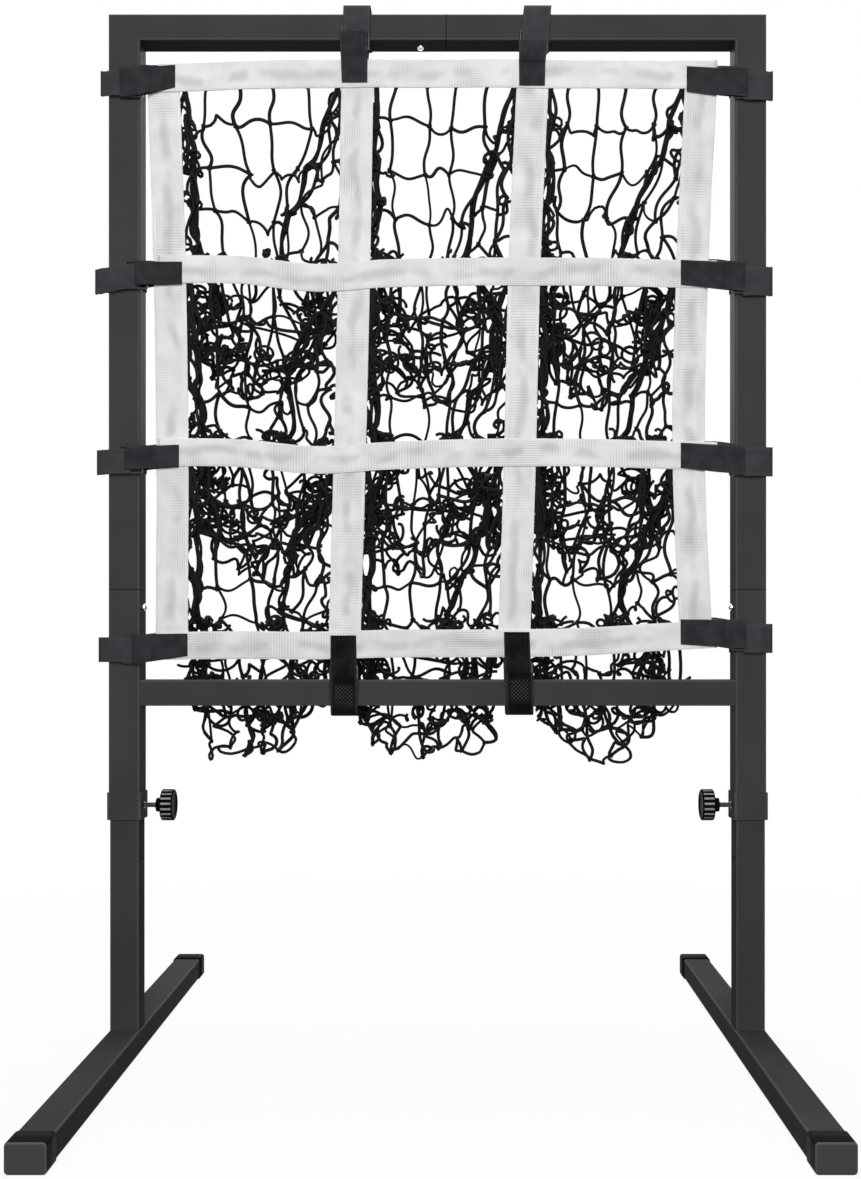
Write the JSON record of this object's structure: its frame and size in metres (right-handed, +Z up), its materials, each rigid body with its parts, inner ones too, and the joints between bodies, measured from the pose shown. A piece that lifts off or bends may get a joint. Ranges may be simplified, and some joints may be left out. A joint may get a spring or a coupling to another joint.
{
  "type": "pitching target net",
  "caption": "Free-standing steel frame on two sliding legs, holding a webbing grid whose holes lead into net ball pockets.",
  "frame": {"origin": "on the floor, at the middle of the stand between its two legs", "axes": "+X to the right as the pitcher sees it, -Y towards the pitcher, +Z up"},
  "size_m": [0.774, 0.735, 1.2115],
  "materials": {
    "black_steel": "satin black powder coat",
    "black_plastic": "matt moulded plastic",
    "knob_plastic": "glossy moulded plastic",
    "zinc_steel": "bright zinc plate",
    "button_steel": "polished",
    "white_webbing": "ribbed woven webbing",
    "black_netting": "knotted twine",
    "strap_tape": "hook-and-loop tape",
    "ring_plastic": "glossy moulded plastic"
  },
  "bodies": {
    "left_base": {"left_foot": "black_steel", "left_front_cap": "black_plastic", "left_rear_cap": "black_plastic", "left_leg": "black_steel", "left_leg_guide": "black_plastic"},
    "frame": {"left_side_tube": "black_steel", "right_side_tube": "black_steel", "cross_rail": "black_steel", "top_left_corner": "black_steel", "top_right_corner": "black_steel", "left_collar": "black_steel", "right_collar": "black_steel", "left_clamp_nut": "zinc_steel", "right_clamp_nut": "zinc_steel", "left_joint_insert": "zinc_steel", "right_joint_insert": "zinc_steel", "top_joint_insert": "zinc_steel", "left_button_spring": "zinc_steel", "right_button_spring": "zinc_steel", "top_button_spring": "zinc_steel", "top_web": "white_webbing", "upper_web": "white_webbing", "lower_web": "white_webbing", "bottom_web": "white_webbing", "left_web": "white_webbing", "inner_left_web": "white_webbing", "inner_right_web": "white_webbing", "right_web": "white_webbing", "pocket_top_left": "black_netting", "pocket_top_middle": "black_netting", "pocket_top_right": "black_netting", "pocket_middle_left": "black_netting", "pocket_centre": "black_netting", "pocket_middle_right": "black_netting", "pocket_bottom_left": "black_netting", "pocket_bottom_middle": "black_netting", "pocket_bottom_right": "black_netting", "left_straps": "strap_tape", "right_straps": "strap_tape", "top_straps": "strap_tape", "bottom_straps": "strap_tape", "left_rings": "ring_plastic", "right_rings": "ring_plastic", "top_rings": "ring_plastic", "bottom_rings": "ring_plastic"},
    "right_base": {"right_foot": "black_steel", "right_front_cap": "black_plastic", "right_rear_cap": "black_plastic", "right_leg": "black_steel", "right_leg_guide": "black_plastic"},
    "left_stud": {"left_clamp_stud": "zinc_steel"},
    "left_knob": {"left_knob": "knob_plastic"},
    "right_stud": {"right_clamp_stud": "zinc_steel"},
    "right_knob": {"right_knob": "knob_plastic"},
    "left_button": {"left_button": "button_steel"},
    "right_button": {"right_button": "button_steel"},
    "top_button": {"top_button": "button_steel"}
  },
  "joints": [
    {"name": "frame_height", "type": "slide", "parent": "left_base", "child": "frame", "axis": [0, 0, 1], "range_m": [-0.126, 0]},
    {"name": "right_leg_height", "type": "slide", "parent": "frame", "child": "right_base", "axis": [0, 0, 1], "range_m": [0, 0.126]},
    {"name": "left_stud_travel", "type": "slide", "parent": "frame", "child": "left_stud", "axis": [-1, 0, 0], "range_m": [-0.00101, 0.00301]},
    {"name": "left_knob_turn", "type": "hinge", "parent": "left_stud", "child": "left_knob", "pos_m": [-0.315, 0, 0.2865], "axis": [-1, 0, 0], "range_deg": [-360, 1080]},
    {"name": "right_stud_travel", "type": "slide", "parent": "frame", "child": "right_stud", "axis": [1, 0, 0], "range_m": [-0.00101, 0.00301]},
    {"name": "right_knob_turn", "type": "hinge", "parent": "right_stud", "child": "right_knob", "pos_m": [0.315, 0, 0.2865], "axis": [1, 0, 0], "range_deg": [-360, 1080]},
    {"name": "left_button_press", "type": "slide", "parent": "frame", "child": "left_button", "axis": [-1, 0, 0], "range_m": [0, 0.0063], "stiffness_N_per_m": 600, "deforming": ["left_button_spring"]},
    {"name": "right_button_press", "type": "slide", "parent": "frame", "child": "right_button", "axis": [1, 0, 0], "range_m": [0, 0.0063], "stiffness_N_per_m": 600, "deforming": ["right_button_spring"]},
    {"name": "top_button_press", "type": "slide", "parent": "frame", "child": "top_button", "axis": [0, 0, 1], "range_m": [0, 0.0063], "stiffness_N_per_m": 600, "deforming": ["top_button_spring"]}
  ],
  "couplings": [
    {"joint": "right_leg_height", "follows": "frame_height", "ratio": -1},
    {"joint": "left_stud_travel", "follows": "left_knob_turn", "m_per_rad": 0.00015915},
    {"joint": "right_stud_travel", "follows": "right_knob_turn", "m_per_rad": 0.00015915}
  ]
}
